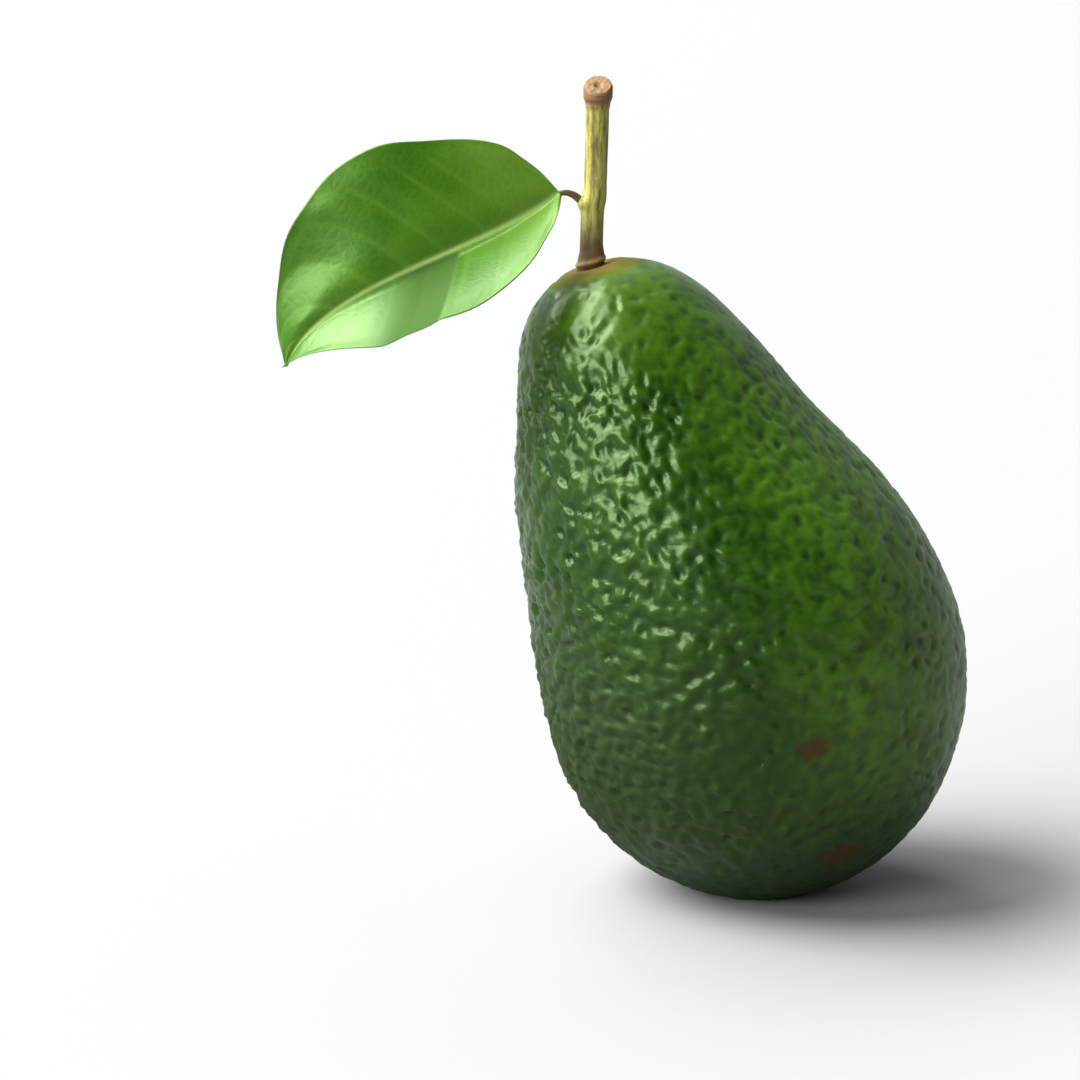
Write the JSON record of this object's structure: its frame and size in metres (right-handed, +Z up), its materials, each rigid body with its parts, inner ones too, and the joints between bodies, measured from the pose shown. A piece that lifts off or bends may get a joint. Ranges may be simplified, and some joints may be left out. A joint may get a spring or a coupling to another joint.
{
  "type": "avocado",
  "caption": "Whole pear-shaped avocado with pebbled dark green skin, on its woody stalk with a folded glossy leaf, standing on a small flat spot.",
  "frame": {"origin": "centre of the small flat spot that the fruit stands on", "axes": "+Z up, from the resting spot to the crown; -X the way the neck leans and the leaf hangs; -Y the front"},
  "size_m": [0.111, 0.0678, 0.1319],
  "materials": {
    "skin": "pebbled dark green fruit skin with a waxy gloss, yellower at the crown",
    "stalk": "dull olive bark, brown at the foot and at the cut top",
    "leaf": "smooth leathery green blade with a waxy sheen and a pale midrib"
  },
  "bodies": {
    "root": {"fruit": "skin", "stem": "stalk", "leaf": "leaf"}
  },
  "joints": []
}
